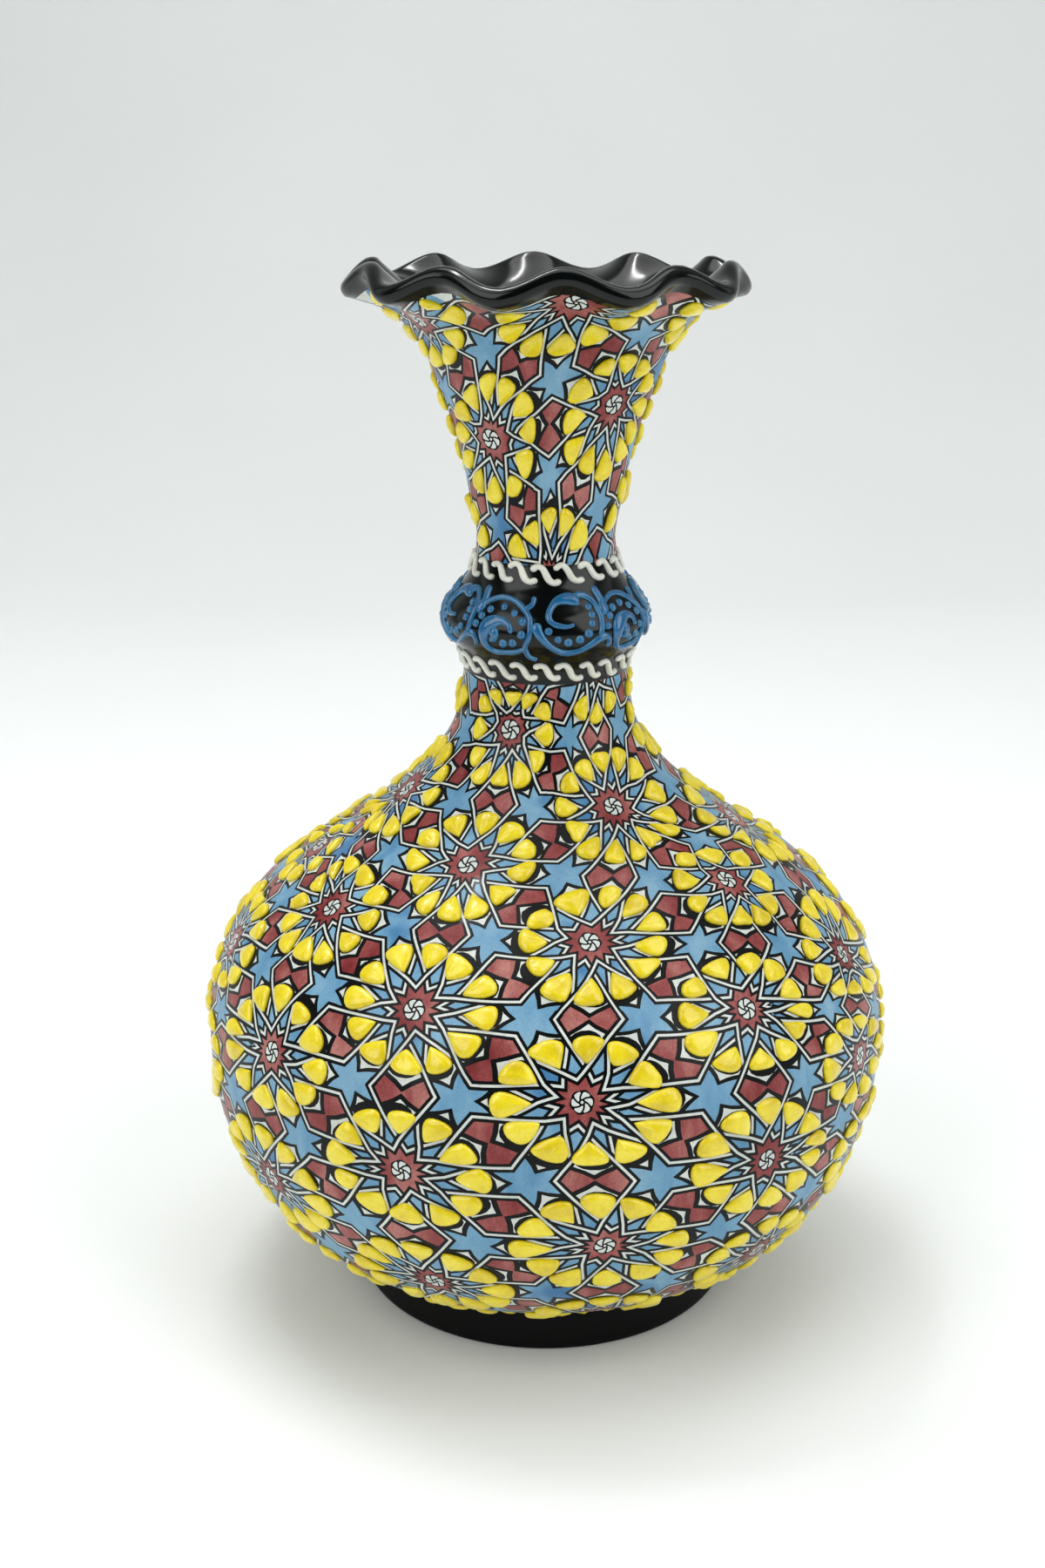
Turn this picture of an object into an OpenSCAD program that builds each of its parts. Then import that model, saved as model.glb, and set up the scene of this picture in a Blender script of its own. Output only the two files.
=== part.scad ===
// Bottle vase with a round body, a beaded collar, a trumpet neck and a crimped lip.
// The body is thrown in sections that are luted together. Raised enamel is then
// trailed on the glaze: yellow petals, white running meanders and blue scrolls.
// Units are millimetres. The origin is the middle of the foot, on the table.

/* [Body] */
// Height from the table to the crests of the lip
vase_h = 250; // [225:1:275]
// Diameter of the round body at its widest
belly_d = 166; // [150:1:182]
// Thickness of the thrown wall
wall = 4.5; // [3.5:0.5:5]
// Thickness of the floor inside the body
floor_t = 6; // [5:0.5:8]

/* [Foot] */
// Diameter of the foot ring where it stands on the table
foot_d = 94; // [90:1:98]
// Height of the foot ring, and so the depth of the recess under the vase
foot_h = 10; // [9:0.5:10]
// Width of the flat land that the foot ring stands on
foot_land = 7; // [5:0.5:9]

/* [Lip] */
// Number of crimps round the lip
crimps = 10; // [6:1:14]
// Rise of a crest, and fall of a trough, from the lip's mean height
crimp_rise = 2; // [1:0.1:3]
// Extra radius of a trough, and lost radius of a crest, at the rim
crimp_flare = 1.4; // [0.5:0.1:2]
// Angle of a crest from the front of the vase
crimp_turn = 4; // [0:1:36]

/* [Pattern] */
// Distance along the wall between rosettes that stand one above the other
rosette_pitch = 35; // [34:0.5:36]
// Turn of the whole pattern round the vase
pattern_turn = 0; // [-20:1:20]

/* [Enamel] */
// Height of a yellow petal over the glaze
petal_rise = 1.3; // [0.8:0.1:1.8]
// Height of the white meanders over the glaze
meander_rise = 0.9; // [0.5:0.1:1.2]
// Width of a white stroke
meander_w = 1.5; // [0.9:0.1:1.5]
// Height of the blue scrolls over the glaze
scroll_rise = 0.9; // [0.5:0.1:1.2]
// Width of a blue scroll line
scroll_w = 1.3; // [0.9:0.1:1.3]
// Diameter of a blue dot
dot_d = 1.8; // [1.2:0.1:1.8]

/* [Hidden] */
$fn = 96;

// Stations of the outer line as [height, radius], for a vase 250 high and 166 across.
tall = vase_h / 250;
wide = belly_d / 166;
stations = [
    [10, 42], [14, 51], [19, 60.5], [26, 68.4], [40, 77.4], [65, 83], [85, 80.2], [100, 71],
    [110, 59.5], [120, 44.6], [132, 30], [143, 22.2], [153, 19.9],
    [158, 19.5], [162, 20.7], [165.5, 23.2], [169, 24.3], [172.5, 23.4], [176, 20.8], [179.5, 18.1],
    [187, 16.2], [198, 17.8], [210, 20.3], [222, 24.5], [234, 30.2], [240, 36.4], [244, 43.6]];
line = [for (p = stations) [p[0] * tall, p[1] * wide]];
last = len(line) - 1;

// Heights at which one thrown section is luted to the next.
globe_foot = foot_h * tall;
collar_foot = 157 * tall;
neck_foot = 184 * tall;
lip_foot = 236 * tall;
rim_foot = line[last][0];

yellow = "gold";
white = "whitesmoke";
blue = "steelblue";
glaze = "#16191b";

// Slope of the outer line at station i, from the parabola through its neighbours.
function rise(i) = (line[i + 1][1] - line[i][1]) / (line[i + 1][0] - line[i][0]);
function gap(i) = line[i + 1][0] - line[i][0];
function slope(i) = i == 0 ? rise(0) : i == last ? rise(last - 1)
    : (gap(i) * rise(i - 1) + gap(i - 1) * rise(i)) / (gap(i - 1) + gap(i));

// Radius of the outer line at height z: a cubic between each pair of stations.
function span(z) = max([0, for (i = [0 : last - 1]) if (line[i][0] <= z) i]);
function cubic(p, q, m, n, u) =
    p * (1 + 2 * u) * pow(1 - u, 2) + m * u * pow(1 - u, 2)
    + q * u * u * (3 - 2 * u) - n * u * u * (1 - u);
function radius(z) = let (i = span(z), u = (z - line[i][0]) / gap(i))
    cubic(line[i][1], line[i + 1][1], slope(i) * gap(i), slope(i + 1) * gap(i), u);
function lean(z) = radius(z + 0.25) / 0.5 - radius(z - 0.25) / 0.5;

// The outer line's normal and a point moved out along it, as [radius, height].
function normal(z) = [1, -lean(z)] / norm([1, lean(z)]);
function off(z, d) = [radius(z), z] + d * normal(z);
function heights(low, high, n) = [for (i = [0 : n]) low + (high - low) * i / n];

// Radius of the bore at height z. The wall is thrown thinner where it lies nearly flat.
function bore(z) = radius(z) - wall * min(norm([1, lean(z)]), 1.8);

// Distance along the wall from the foot joint, against height.
arc_step = 1;
arc_table = [for (z = globe_foot, s = 0; z <= rim_foot;
                  s = s + norm([radius(z + arc_step) - radius(z), arc_step]), z = z + arc_step) [s, z]];
height_table = [for (p = arc_table) [p[1], p[0]]];
function height_at(s) = lookup(s, arc_table);
function arc_at(z) = lookup(z, height_table);

// A point over the wall: angle from the front, distance along the wall, height over the glaze.
function spot(a, s, over) = let (p = off(height_at(s), over)) [p[0] * sin(a), -p[0] * cos(a), p[1]];

// Section of a thrown wall between two heights.
module wall_section(low, high, n) {
    levels = heights(low, high, n);
    polygon(concat([for (z = levels) off(z, 0)], [for (i = [n : -1 : 0]) [bore(levels[i]), levels[i]]]));
}

module foot_ring() {
    out = foot_d / 2;
    round = 1.2;
    color(glaze) rotate_extrude($fn = 128)
        polygon([[out - round, 0], [out - 0.2, 0.5], [out, round], [out - 1.4, globe_foot],
                 [out - foot_land - 2.5, globe_foot], [out - foot_land - 1, round],
                 [out - foot_land, 0]]);
}

module globe() {
    n = 46;
    low = globe_foot + floor_t;
    outer = [for (z = heights(globe_foot, collar_foot, n)) off(z, 0)];
    inner = [for (z = heights(low, collar_foot, n)) [bore(z), z]];
    color(blue) rotate_extrude($fn = 128)
        polygon(concat([[0, globe_foot]], outer, [for (i = [n : -1 : 0]) inner[i]],
                       [[inner[0][0] - 6, low - 1.5], [0, low - 1.5]]));
}

module collar() {
    color(glaze) rotate_extrude($fn = 128) wall_section(collar_foot, neck_foot, 24);
}

module neck() {
    color(blue) rotate_extrude($fn = 128) wall_section(neck_foot, lip_foot, 20);
}

// The lip's line runs up the outside, round the rim and down the inside.
// The crimps grow from nothing at the joint to their full depth at the rim.
lip_steps = 6;
rim_round = 3;
function rim_turn(t) = let (n = normal(rim_foot))
    off(rim_foot, -wall / 2) + wall / 2 * (n * cos(t) + [-n[1], n[0]] * sin(t));
lip_line = concat(
    [for (i = [0 : lip_steps]) let (u = i / lip_steps) concat(off(lip_foot + (rim_foot - lip_foot) * u, 0), u)],
    [for (i = [1 : rim_round]) concat(rim_turn(180 * i / (rim_round + 1)), 1)],
    [for (i = [lip_steps : -1 : 1]) let (u = i / lip_steps)
     concat(off(lip_foot + (rim_foot - lip_foot) * u, -wall), u)],
    [[bore(lip_foot), lip_foot, 0]]);

module crimped_lip() {
    around = crimps * 10;
    rows = len(lip_line);
    points = [for (i = [0 : around - 1], p = lip_line)
              let (a = 360 * i / around, wave = cos(crimps * (a - crimp_turn)) * pow(p[2], 2),
                   r = p[0] - crimp_flare * wave)
              [r * sin(a), -r * cos(a), p[1] + crimp_rise * wave]];
    faces = [for (i = [0 : around - 1], j = [0 : rows - 1])
             let (k = (i + 1) % around * rows, m = (j + 1) % rows)
             each [[i * rows + j, i * rows + m, k + m], [i * rows + j, k + m, k + j]]];
    color(glaze) polyhedron(points, faces);
}

// A stroke of enamel trailed along a path of [angle, arc, share of full width].
// Its section is a low hump whose base lies on the glaze. A wide stroke stands little higher.
stroke_crest = 1.15;
module stroke(path, w, h) {
    n = len(path) - 1;
    hump = [[-0.5, 0], [-0.36, 0.7], [0, 1], [0.36, 0.7], [0.5, 0]];
    k = len(hump);
    function flat(i) = let (p = path[i]) [(p[0] - path[0][0]) * PI / 180 * radius(height_at(p[1])), p[1]];
    function across(i) = let (d = flat(min(i + 1, n)) - flat(max(i - 1, 0)), u = d / norm(d)) [-u[1], u[0]];
    points = [for (i = [0 : n]) for (q = hump)
              let (p = path[i], c = across(i) * q[0] * w * p[2], r = radius(height_at(p[1])))
              spot(p[0] + c[0] / r * 180 / PI, p[1] + c[1], q[1] * h * min(p[2], stroke_crest))];
    sides = [for (i = [0 : n - 1]) for (j = [0 : k - 1])
             let (m = (j + 1) % k, a = i * k) each [[a + j, a + k + j, a + k + m], [a + j, a + k + m, a + m]]];
    ends = [for (j = [1 : k - 2]) each [[0, j, j + 1], [n * k, n * k + j + 1, n * k + j]]];
    polyhedron(points, concat(sides, ends));
}

// Rosettes of the body as [angle, arc], row by row from the foot, for a pitch of 35. The sheet
// was laid by hand, so they stand a little unevenly, and two meet at a join on the right.
// The rows past its ends carry no petals, but the next row leans towards them.
body_rows = concat(
    [for (i = [0 : 5]) each [[60 * i - 24, -30], [60 * i + 7, -12.5]]],
    [[-21, 5], [38, 5], [98, 5], [156, 5], [216, 5], [276, 5]],
    [[11, 22], [68, 22], [126, 22.5], [186, 22.5], [246, 22.5], [307, 22.5]],
    [[-20, 40], [41, 39], [96, 40], [156, 40], [216, 40], [276, 40]],
    [[8.7, 56.5], [67, 57], [125, 57.5], [186, 57.5], [246, 57.5], [308.5, 57]],
    [[-22.4, 73.3], [35.7, 71.1], [93, 74], [155, 75], [216, 75], [278, 75]],
    [[5, 91.7], [61, 83], [123, 92.5], [186, 92.5], [247, 92], [311, 90.4]],
    [[-23, 109.2], [35.3, 105.9], [67, 105], [95, 107], [155, 110], [216, 110], [282, 102.5]],
    [[8.9, 126.9], [51.5, 135.2], [123, 127.5], [186, 127.5], [249, 128], [275, 133], [306.4, 125.5]],
    [[-24, 146.4], [89, 144], [216, 146]],
    [[28.7, 161.7], [152, 160.5], [282, 159]],
    [[-23, 181.4], [94, 184], [217, 181]],
    [[37, 195.7], [157, 195.7], [277, 195.7]],
    [[-23, 202], [97, 204], [217, 204]]);
shoulder_row = 124;
// The neck carries two more sheets, laid askew, as [angle, mm above the neck's foot]. They meet
// left of the front, where the rosettes crowd together. The outer rows lie past the sheets' ends.
neck_rows = concat(
    [[43, -30], [130, -30], [222, -30], [314, -32]],
    [[2, -3.2], [85, 5], [176, 2], [268, 0]],
    [[-35.7, 28.7], [37.7, 37], [106, 33], [177, 36], [248, 31]],
    [[-55.2, 58.3], [8, 65], [75, 62], [130, 64], [180, 66], [232, 60]],
    [[-20, 92], [40, 97], [95, 94], [150, 95], [210, 95], [275, 93]]);

row_scale = rosette_pitch / 35;
body_rosettes = [for (p = body_rows) [p[0] + pattern_turn, p[1] * row_scale]];
neck_rosettes = [for (p = neck_rows) [p[0], arc_at(neck_foot) + p[1]]];

// The way from rosette p to rosette q: degrees, arc, and both in millimetres on the wall.
function way(p, q) = let (a = q[0] - p[0] - 360 * round((q[0] - p[0]) / 360), s = q[1] - p[1],
                          r = radius(height_at((p[1] + q[1]) / 2)))
    [a, s, a * PI / 180 * r, s];
function flat(w) = [w[2], w[3]];
// Neighbours of a rosette: a circle can pass through the two with no other rosette inside.
// That holds when the widest angles that others see the two at, one on each side, leave room.
reach = 60;
function seen(v, w) = let (a = -flat(v), b = flat(w) - flat(v)) acos(a * b / norm(a) / norm(b));
function widest(w, all, side) =
    max([0, for (v = all) if (side * cross(flat(w), flat(v)) > 0) seen(v, w)]);
function clear(w, all) = widest(w, all, 1) + widest(w, all, -1) < 180;
function beside(p, rosettes) = let (all = [for (q = rosettes) let (w = way(p, q))
    if (norm(flat(w)) > 1 && norm(flat(w)) < reach) w]) [for (w = all) if (clear(w, all)) w];
function bearing(w) = atan2(w[3], w[2]);
function in_turn(v) = len(v) < 2 ? v : let (h = bearing(v[0]))
    concat(in_turn([for (w = v) if (bearing(w) < h) w]), [v[0]], in_turn([for (w = v) if (bearing(w) > h) w]));

// One petal of yellow enamel. Its outline is a teardrop with its point inward, in shares
// of the pitch from the rosette's middle. Two points make its ridge. One share along it,
// to its left and to its right are each a step in degrees and arc.
petal_outline = [[0.235, 0], [0.31, -0.06], [0.38, -0.082], [0.425, -0.037],
                 [0.425, 0.037], [0.38, 0.082], [0.31, 0.06]];
petal_ridge = [[0.325, 0, 0.9], [0.38, 0, 1]];
petal_faces = [[0, 7, 1], [1, 7, 2], [2, 7, 8], [2, 8, 3], [3, 8, 4], [4, 8, 5], [5, 8, 7], [5, 7, 6],
               [6, 7, 0], [0, 1, 6], [1, 2, 5], [1, 5, 6], [2, 3, 4], [2, 4, 5]];
module petal(p, along, left, right, low, high) {
    function at(q) = p + q[0] * along + abs(q[1]) * (q[1] > 0 ? left : right);
    foot = [for (q = petal_outline) at(q)];
    arcs = [for (q = foot) q[1]];
    if (min(arcs) > low && max(arcs) < high)
        polyhedron(concat([for (q = foot) spot(q[0], q[1], 0)],
                          [for (q = petal_ridge) let (c = at(q)) spot(c[0], c[1], petal_rise * q[2])]),
                   petal_faces);
}

// A rosette has a petal towards each neighbour and one into each gap between two.
// All are drawn on a grid of equal triangles that is stretched to fit the neighbours.
gap_middle = 1 / sqrt(3);
module rosette(p, rosettes, low, high) {
    near = [for (w = in_turn(beside(p, rosettes))) [w[0], w[1]]];
    n = len(near);
    gaps = [for (i = [0 : n - 1]) (near[i] + near[(i + 1) % n]) / 3];
    for (i = [0 : n - 1]) {
        half = near[i] / 2;
        side = gap_middle / 2;
        petal(p, near[i], (gaps[i] - half) / side, (gaps[(i + n - 1) % n] - half) / side, low, high);
        along = gaps[i] / gap_middle;
        foot = cos(30) / 2;
        petal(p, along, (near[(i + 1) % n] / 2 - foot * along) * 4, (half - foot * along) * 4, low, high);
    }
}

shoulder_arc = shoulder_row * row_scale;
body_top = arc_at(collar_foot) - 0.5;

module belly_petals() {
    color(yellow) for (p = body_rosettes) if (p[1] > 0 && p[1] < shoulder_arc)
        rosette(p, body_rosettes, 1.5, body_top);
}

module shoulder_petals() {
    color(yellow) for (p = body_rosettes) if (p[1] > shoulder_arc && p[1] < body_top + 4)
        rosette(p, body_rosettes, 0, body_top);
}

module neck_petals() {
    color(yellow) for (p = neck_rosettes) if (p[1] > arc_at(neck_foot) && p[1] < arc_at(rim_foot))
        rosette(p, neck_rosettes, arc_at(neck_foot) + 1, arc_at(lip_foot) - 1);
}

// A running meander. Each stroke starts with a round head, rises over, falls and runs out low
// under the next. Its points are [share of the step, mm up].
meander_path = [[-0.56, 0.7], [-0.42, 1.25], [-0.2, 1.5], [0, 1.05], [0.1, 0], [0.22, -1.05], [0.4, -1.5],
                [0.6, -1.3]];
module meander(z, count) {
    for (i = [0 : count - 1])
        stroke([for (p = meander_path) [(i + p[0]) * 360 / count, arc_at(z) + p[1], 1 - 0.2 * abs(p[0])]],
               meander_w, meander_rise);
}

module lower_meander() {
    color(white) meander(160.2 * tall, 24);
}

module upper_meander() {
    color(white) meander(182.1 * tall, 20);
}

// Blue scrolls on the bead. A curl and a hook take turns: each is a ring round a thick comma.
// Points are [mm along, mm up, share of the line's width] from the scroll's middle.
scrolls = 10;
scroll_turn = -23;
scroll_z = 171.5 * tall;
curl = [
    [[-5.2, 6, 0.9], [-3.4, 6.6, 0.9], [-0.5, 6.6, 0.9], [2.1, 5.5, 1], [4.1, 4, 1], [5.4, 2, 1], [5.8, -0.2, 0.9],
     [5.6, -2.4, 0.85], [4.8, -4.5, 0.85], [4.8, -6.5, 0.9], [5.8, -7.9, 0.8], [7.3, -8.3, 0.6]],
    [[3.4, -6, 0.7], [2, -6.4, 0.85], [-0.2, -6.7, 0.9], [-2.6, -6.7, 0.9], [-4.5, -6, 1], [-5.4, -4.4, 1.2],
     [-5.3, -2.6, 1.5], [-4.8, -0.8, 1.7], [-3.4, 0.3, 1.7], [-1.8, 1, 1.4], [-0.2, 0.8, 1.1], [0.9, -0.2, 0.9],
     [1.4, -1.7, 0.6]],
    [[-2.8, -1.8, 1.2], [-2.5, -2.7, 1.2], [-3, -3.6, 0.9]],
    [[5.1, 5, 0.8], [6, 6, 0.9], [6.2, 7.4, 1.1]]];
hook = [
    [[-8.4, 0.7, 1.4], [-8.1, -1.1, 1.4], [-6.5, -3.5, 1.1], [-4.3, -5.4, 1], [-1.8, -6.4, 1], [1, -6.1, 0.9],
     [3.3, -4.9, 1], [5.3, -3.5, 1.1], [6.9, -2.8, 1.2], [8.1, -3.1, 1], [8.6, -4.3, 0.8], [8.1, -5.5, 0.6]],
    [[6.5, -1.1, 0.9], [6.8, 0.4, 0.9], [6.9, 2.6, 1], [6.2, 5.4, 1], [4.7, 7.1, 1], [2.9, 7.8, 1.2]],
    [[2.4, 5.5, 1.2], [0.8, 6.4, 1.8], [-1.4, 6.9, 1.8], [-3.9, 6, 1.4], [-5.5, 4.2, 1.1], [-6, 2.3, 1.1],
     [-5.1, 1, 0.9], [-3.5, 0.2, 0.9], [-1.6, 0, 0.7], [0, 0.5, 0.6]],
    [[7.9, 9.2, 1.2], [8.5, 7.7, 1.4], [8.9, 5.4, 1.4], [8.8, 3.6, 1.5], [8.6, 1.9, 1]]];
curl_dots = [[-6.8, 1.6], [-4.9, 3.4], [-1.5, 4.3], [1.6, 3.1], [3.9, 1.1], [3.9, -1.9], [1.8, -4],
             [-0.6, -4.4]];
hook_dots = [[4.6, 4.4], [4.8, 2.4], [4.5, 0.4], [3.3, -1.9], [1.3, -3.2], [-1.4, -3.7], [-3.9, -3], [-6, -1],
             [8.5, -0.5]];
// The scrolls at the front have room. The rest are drawn narrower, to come round to them.
roomy = 3;
wide_step = 38;
tight_step = (360 - roomy * wide_step) / (scrolls - roomy);
function scroll_at(i) = scroll_turn + (min(i, roomy) - 1) * wide_step + max(0, i - roomy) * tight_step;
function collar_spot(i, p) =
    [scroll_at(i) + p[0] * (i > 0 && i < roomy ? 1 : tight_step / wide_step) / radius(scroll_z) * 180 / PI,
     arc_at(scroll_z) + p[1]];

module collar_scrolls() {
    color(blue) for (i = [0 : scrolls - 1], path = i % 2 == 0 ? hook : curl)
        stroke([for (p = path) concat(collar_spot(i, p), p[2])], scroll_w, scroll_rise);
}

// Round dots along the inside of each ring.
module collar_dots() {
    color(blue) for (i = [0 : scrolls - 1], q = i % 2 == 0 ? hook_dots : curl_dots) {
        p = collar_spot(i, q);
        translate(spot(p[0], p[1], 0))
            rotate([0, 0, p[0] - 90])
                rotate([0, 90 + atan(lean(height_at(p[1]))), 0])
                    rotate_extrude($fn = 24) intersection() {
                        circle(d = dot_d);
                        square(dot_d);
                    }
    }
}

foot_ring();
globe();
collar();
neck();
crimped_lip();
belly_petals();
shoulder_petals();
neck_petals();
lower_meander();
upper_meander();
collar_scrolls();
collar_dots();
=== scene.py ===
"""Visual model of a bottle vase with a star-pattern print and raised enamel.

The wall's outer line and the layout of the rosettes are those of part.scad, in millimetres
and degrees. The print is drawn as flat shapes on the unrolled wall (angle from the front,
distance along the wall), cut into one triangle net, and wrapped round the vase.
"""

import math
import random

import bmesh
import bpy
import numpy as np
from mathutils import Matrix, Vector, geometry


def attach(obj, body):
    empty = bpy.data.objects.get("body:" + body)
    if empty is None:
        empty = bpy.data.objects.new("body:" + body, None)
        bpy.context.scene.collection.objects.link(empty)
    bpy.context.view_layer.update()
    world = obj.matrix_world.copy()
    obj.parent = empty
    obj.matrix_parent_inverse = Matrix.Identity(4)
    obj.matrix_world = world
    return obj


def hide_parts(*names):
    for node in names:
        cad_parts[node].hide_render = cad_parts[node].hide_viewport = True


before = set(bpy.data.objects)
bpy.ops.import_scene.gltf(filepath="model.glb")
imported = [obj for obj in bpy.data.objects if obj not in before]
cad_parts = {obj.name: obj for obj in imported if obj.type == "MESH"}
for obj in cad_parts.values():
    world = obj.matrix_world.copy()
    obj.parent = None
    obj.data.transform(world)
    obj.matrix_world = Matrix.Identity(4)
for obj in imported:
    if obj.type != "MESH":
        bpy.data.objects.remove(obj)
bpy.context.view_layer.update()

MM = 0.001

# ---- the wall, as in part.scad

WALL = 4.5
FLOOR_T = 6.0
FOOT_D = 94.0
FOOT_LAND = 7.0
GLOBE_FOOT = 10.0
COLLAR_FOOT = 157.0
NECK_FOOT = 184.0
LIP_FOOT = 236.0
RIM_FOOT = 244.0
CRIMPS = 10
CRIMP_RISE = 2.0
CRIMP_FLARE = 1.4
CRIMP_TURN = 4.0
STATIONS = np.array([
    [10, 42], [14, 51], [19, 60.5], [26, 68.4], [40, 77.4], [65, 83], [85, 80.2], [100, 71],
    [110, 59.5], [120, 44.6], [132, 30], [143, 22.2], [153, 19.9],
    [158, 19.5], [162, 20.7], [165.5, 23.2], [169, 24.3], [172.5, 23.4], [176, 20.8], [179.5, 18.1],
    [187, 16.2], [198, 17.8], [210, 20.3], [222, 24.5], [234, 30.2], [240, 36.4], [244, 43.6]])
LEVEL, REACH = STATIONS[:, 0], STATIONS[:, 1]
GAP = np.diff(LEVEL)
RISE = np.diff(REACH) / GAP
SLOPE = np.concatenate([
    [RISE[0]], (GAP[1:] * RISE[:-1] + GAP[:-1] * RISE[1:]) / (GAP[:-1] + GAP[1:]), [RISE[-1]]])


def radius(z):
    """Radius of the outer line at height z: a cubic between each pair of stations."""
    z = np.asarray(z, float)
    i = np.clip(np.searchsorted(LEVEL, z, side="right") - 1, 0, len(GAP) - 1)
    u = (z - LEVEL[i]) / GAP[i]
    return (REACH[i] * (1 + 2 * u) * (1 - u) ** 2 + SLOPE[i] * GAP[i] * u * (1 - u) ** 2
            + REACH[i + 1] * u * u * (3 - 2 * u) - SLOPE[i + 1] * GAP[i] * u * u * (1 - u))


def lean(z):
    """How fast the outer line moves outwards as it rises."""
    return (radius(np.asarray(z) + 0.25) - radius(np.asarray(z) - 0.25)) / 0.5


def bore(z):
    """Radius of the hollow inside, a wall's thickness in from the outer line."""
    return radius(z) - WALL * np.minimum(np.hypot(1, lean(z)), 1.8)


ARC_Z = np.arange(GLOBE_FOOT, RIM_FOOT + 0.5)
ARC_S = np.concatenate([[0], np.cumsum(np.hypot(np.diff(radius(ARC_Z)), 1))])


def height_at(s):
    return np.interp(s, ARC_S, ARC_Z)


def arc_at(z):
    return float(np.interp(z, ARC_Z, ARC_S))


def wall_r(s):
    return float(radius(height_at(s)))


def crimp(a, r, z, share):
    """Adds the lip's wave to a point at angle a. share is 0 at the lip's joint and 1 at the rim."""
    wave = np.cos(CRIMPS * np.radians(a - CRIMP_TURN)) * share ** 2
    return r - CRIMP_FLARE * wave, z + CRIMP_RISE * wave


def on_wall(a, s, over=0.0):
    """Points over the outer wall, in metres: angle in degrees, arc and height over the glaze in mm."""
    a, s = np.asarray(a, float), np.asarray(s, float)
    z = height_at(s)
    slope = lean(z)
    size = np.hypot(1, slope)
    share = np.clip((z - LIP_FOOT) / (RIM_FOOT - LIP_FOOT), 0, 1)
    r, h = crimp(a, radius(z) + over / size, z - over * slope / size, share)
    t = np.radians(a)
    return np.stack([r * np.sin(t), -r * np.cos(t), h], -1) * MM


def wall_normals(a, s):
    """Outward unit normals of the wall, from points a little way along and around it."""
    step = 0.4
    s = np.clip(s, step, ARC_S[-1] - step)
    along = on_wall(a, s + step) - on_wall(a, s - step)
    around = on_wall(a + step, s) - on_wall(a - step, s)
    n = np.cross(around, along)
    return n / np.linalg.norm(n, axis=-1, keepdims=True)


# ---- rosettes, as in part.scad

PITCH = 35.0
BODY = [(60 * i + a, s) for i in range(6) for a, s in ((-24, -30), (7, -12.5))] + [
    (-21, 5), (38, 5), (98, 5), (156, 5), (216, 5), (276, 5),
    (11, 22), (68, 22), (126, 22.5), (186, 22.5), (246, 22.5), (307, 22.5),
    (-20, 40), (41, 39), (96, 40), (156, 40), (216, 40), (276, 40),
    (8.7, 56.5), (67, 57), (125, 57.5), (186, 57.5), (246, 57.5), (308.5, 57),
    (-22.4, 73.3), (35.7, 71.1), (93, 74), (155, 75), (216, 75), (278, 75),
    (5, 91.7), (61, 83), (123, 92.5), (186, 92.5), (247, 92), (311, 90.4),
    (-23, 109.2), (35.3, 105.9), (67, 105), (95, 107), (155, 110), (216, 110), (282, 102.5),
    (8.9, 126.9), (51.5, 135.2), (123, 127.5), (186, 127.5), (249, 128), (275, 133), (306.4, 125.5),
    (-24, 146.4), (89, 144), (216, 146),
    (28.7, 161.7), (152, 160.5), (282, 159),
    (-23, 181.4), (94, 184), (217, 181),
    (37, 195.7), (157, 195.7), (277, 195.7),
    (-23, 202), (97, 204), (217, 204)]
SHOULDER_ROW = 124.0
NECK_ROWS = [(43, -30), (130, -30), (222, -30), (314, -32),
             (2, -3.2), (85, 5), (176, 2), (268, 0),
             (-35.7, 28.7), (37.7, 37), (106, 33), (177, 36), (248, 31),
             (-55.2, 58.3), (8, 65), (75, 62), (130, 64), (180, 66), (232, 60),
             (-20, 92), (40, 97), (95, 94), (150, 95), (210, 95), (275, 93)]
NECK = [(a, arc_at(NECK_FOOT) + up) for a, up in NECK_ROWS]
REACH_MM = 60.0


def way(p, q):
    """The way from rosette p to q: in degrees round and mm up, then the same again all in mm."""
    a = q[0] - p[0]
    a -= 360 * round(a / 360)
    return a, q[1] - p[1], math.radians(a) * wall_r((p[1] + q[1]) / 2), q[1] - p[1]


def beside(p, rosettes):
    """Ways from rosette p to its neighbours, in turn. A circle can pass through the two with
    no other rosette inside: the widest angles that others see them at, one on each side, leave room."""
    ways = [w for w in (way(p, q) for q in rosettes) if 1 < math.hypot(w[2], w[3]) < REACH_MM]
    near = []
    for w in ways:
        widest = {True: 0.0, False: 0.0}
        for v in ways:
            if v is not w:
                back = np.array([-v[2], -v[3]])
                on = np.array([w[2] - v[2], w[3] - v[3]])
                cosine = back @ on / np.linalg.norm(back) / np.linalg.norm(on)
                angle = math.degrees(math.acos(max(-1, min(1, cosine))))
                side = w[2] * v[3] - w[3] * v[2] > 0
                widest[side] = max(widest[side], angle)
        if sum(widest.values()) < 180:
            near.append(w)
    return sorted(near, key=lambda w: math.atan2(w[3], w[2]))


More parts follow.
